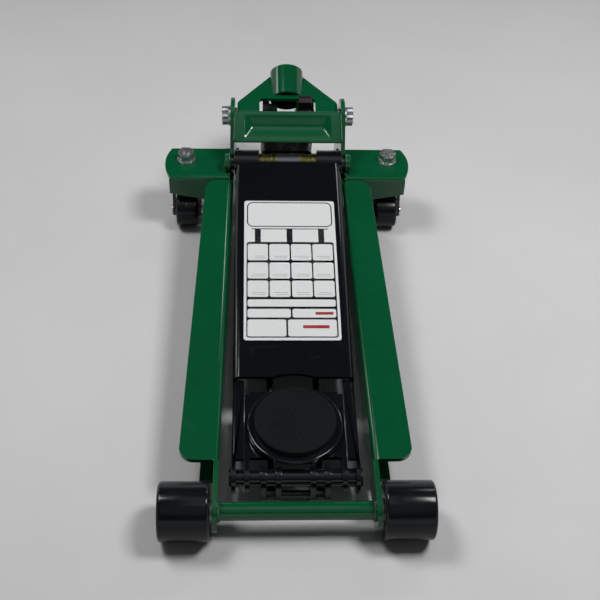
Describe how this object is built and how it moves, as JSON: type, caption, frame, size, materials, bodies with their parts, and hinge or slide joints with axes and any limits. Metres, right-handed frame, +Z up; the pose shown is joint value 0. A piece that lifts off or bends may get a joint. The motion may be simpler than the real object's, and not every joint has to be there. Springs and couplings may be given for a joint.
{
  "type": "trolley floor jack",
  "caption": "Low-profile hydraulic trolley jack with a pressed lift arm, round saddle, front rollers, swivel casters and a tilting handle socket.",
  "frame": {"origin": "centre of the bounding box on the floor", "axes": "+X to the right as one stands in front of the saddle, +Y from the saddle to the handle, +Z up"},
  "size_m": [0.366, 0.7571, 0.1865],
  "materials": {
    "frame_green": "deep green gloss enamel",
    "arm_black": "gloss black enamel",
    "roller_black": "semi-gloss black paint on steel",
    "caster_black": "hard black nylon",
    "casting_black": "painted casting",
    "zinc": "bright zinc plate",
    "yellow_zinc": "yellow zinc plate",
    "steel": "ground steel",
    "hard_chrome": "hard chrome",
    "bronze": "sintered bronze",
    "rubber": "dimpled rubber",
    "label": null,
    "spring_steel": "oiled spring steel"
  },
  "bodies": {
    "frame": {"side_plate_left": "frame_green", "side_plate_right": "frame_green", "front_axle": "steel", "front_cross_tube": "frame_green", "front_axle_retainers": "zinc", "caster_wing_left": "frame_green", "caster_wing_right": "frame_green", "rear_cross_panel": "frame_green", "arm_shaft": "steel", "arm_shaft_caps": "frame_green", "rod_anchors": "yellow_zinc", "shaft_sleeve": "steel", "anchor_pin": "zinc", "caster_stem_bolts": "zinc", "caster_races": "zinc", "caster_balls": "steel", "pump_block": "casting_black", "gland_nut": "steel", "cylinder_tube": "steel", "oil_tank": "casting_black", "filler_plug": "zinc", "trunnion_bolts": "zinc", "yoke_bolts": "zinc", "return_springs": "spring_steel", "plunger_spring": "spring_steel"},
    "lift_arm": {"lift_arm_channel": "arm_black", "arm_hinge_tubes": "arm_black", "arm_levers": "arm_black", "lever_pin": "steel", "arm_spacers": "zinc", "arm_cross_tubes": "arm_black", "label_plate": "label", "front_pin": "zinc"},
    "lever_roller": {"lever_roller": "steel"},
    "saddle_bracket": {"saddle_bracket": "arm_black", "bracket_tube": "arm_black", "level_pin": "zinc"},
    "saddle": {"saddle_dish": "arm_black", "saddle_pad": "rubber", "saddle_clip": "zinc"},
    "level_rods": {"level_rod_left": "zinc", "level_rod_right": "zinc"},
    "front_roller_left": {"front_roller_left": "roller_black", "front_roller_bush_left": "bronze"},
    "front_roller_right": {"front_roller_right": "roller_black", "front_roller_bush_right": "bronze"},
    "caster_left": {"caster_fork_left": "arm_black", "caster_axle_left": "zinc"},
    "caster_right": {"caster_fork_right": "arm_black", "caster_axle_right": "zinc"},
    "caster_wheel_left": {"caster_wheel_left": "caster_black"},
    "caster_wheel_right": {"caster_wheel_right": "caster_black"},
    "ram": {"ram_rod": "hard_chrome"},
    "handle_yoke": {"handle_yoke": "frame_green", "handle_socket": "frame_green", "set_screw": "zinc", "pump_roller_pin": "zinc"},
    "pump_roller": {"pump_roller": "steel"},
    "pump_plunger": {"pump_plunger": "steel"},
    "release_valve": {"release_valve": "steel"}
  },
  "joints": [
    {"name": "arm_lift", "type": "hinge", "parent": "frame", "child": "lift_arm", "pos_m": [0, 0.21877, 0.108], "axis": [-1, 0, 0], "range_deg": [0, 50.58], "deforming": ["return_springs"]},
    {"name": "saddle_bracket_level", "type": "hinge", "parent": "lift_arm", "child": "saddle_bracket", "pos_m": [0, -0.29923, 0.04], "axis": [1, 0, 0], "range_deg": [0, 50.58]},
    {"name": "level_rods_swing", "type": "hinge", "parent": "frame", "child": "level_rods", "pos_m": [0, 0.20877, 0.088], "axis": [-1, 0, 0], "range_deg": [0, 50.58]},
    {"name": "saddle_turn", "type": "hinge", "parent": "saddle_bracket", "child": "saddle", "pos_m": [0, -0.23723, 0.057], "axis": [0, 0, 1], "continuous": true},
    {"name": "ram_stroke", "type": "slide", "parent": "frame", "child": "ram", "axis": [0, -1, 0], "range_m": [0, 0.05298]},
    {"name": "lever_roller_spin", "type": "hinge", "parent": "lift_arm", "child": "lever_roller", "pos_m": [0, 0.24526, 0.05194], "axis": [1, 0, 0], "continuous": true},
    {"name": "handle_pump", "type": "hinge", "parent": "frame", "child": "handle_yoke", "pos_m": [0, 0.27877, 0.149], "axis": [1, 0, 0], "range_deg": [0, 55]},
    {"name": "pump_roller_spin", "type": "hinge", "parent": "handle_yoke", "child": "pump_roller", "pos_m": [0.027, 0.30677, 0.136], "axis": [1, 0, 0], "continuous": true},
    {"name": "plunger_stroke", "type": "slide", "parent": "frame", "child": "pump_plunger", "axis": [0, 0, 1], "range_m": [0, 0.02848], "deforming": ["plunger_spring"]},
    {"name": "release_valve_turn", "type": "hinge", "parent": "frame", "child": "release_valve", "pos_m": [0, 0.30877, 0.1], "axis": [0, 0, 1], "range_deg": [0, 540]},
    {"name": "front_roller_left_roll", "type": "hinge", "parent": "frame", "child": "front_roller_left", "pos_m": [-0.133, -0.34323, 0.0355], "axis": [1, 0, 0], "continuous": true},
    {"name": "caster_left_swivel", "type": "hinge", "parent": "frame", "child": "caster_left", "pos_m": [-0.15149, 0.23957, 0.077], "axis": [0, 0, 1], "continuous": true},
    {"name": "caster_wheel_left_roll", "type": "hinge", "parent": "caster_left", "child": "caster_wheel_left", "pos_m": [-0.15149, 0.20757, 0.025], "axis": [1, 0, 0], "continuous": true},
    {"name": "front_roller_right_roll", "type": "hinge", "parent": "frame", "child": "front_roller_right", "pos_m": [0.133, -0.34323, 0.0355], "axis": [1, 0, 0], "continuous": true},
    {"name": "caster_right_swivel", "type": "hinge", "parent": "frame", "child": "caster_right", "pos_m": [0.15149, 0.23957, 0.077], "axis": [0, 0, 1], "continuous": true},
    {"name": "caster_wheel_right_roll", "type": "hinge", "parent": "caster_right", "child": "caster_wheel_right", "pos_m": [0.15149, 0.20757, 0.025], "axis": [1, 0, 0], "continuous": true}
  ],
  "couplings": [
    {"joint": "saddle_bracket_level", "follows": "arm_lift", "ratio": 1},
    {"joint": "level_rods_swing", "follows": "arm_lift", "ratio": 1},
    {"joint": "ram_stroke", "follows": "arm_lift", "m_per_rad": 0.060006},
    {"joint": "plunger_stroke", "follows": "handle_pump", "m_per_rad": 0.029668}
  ]
}
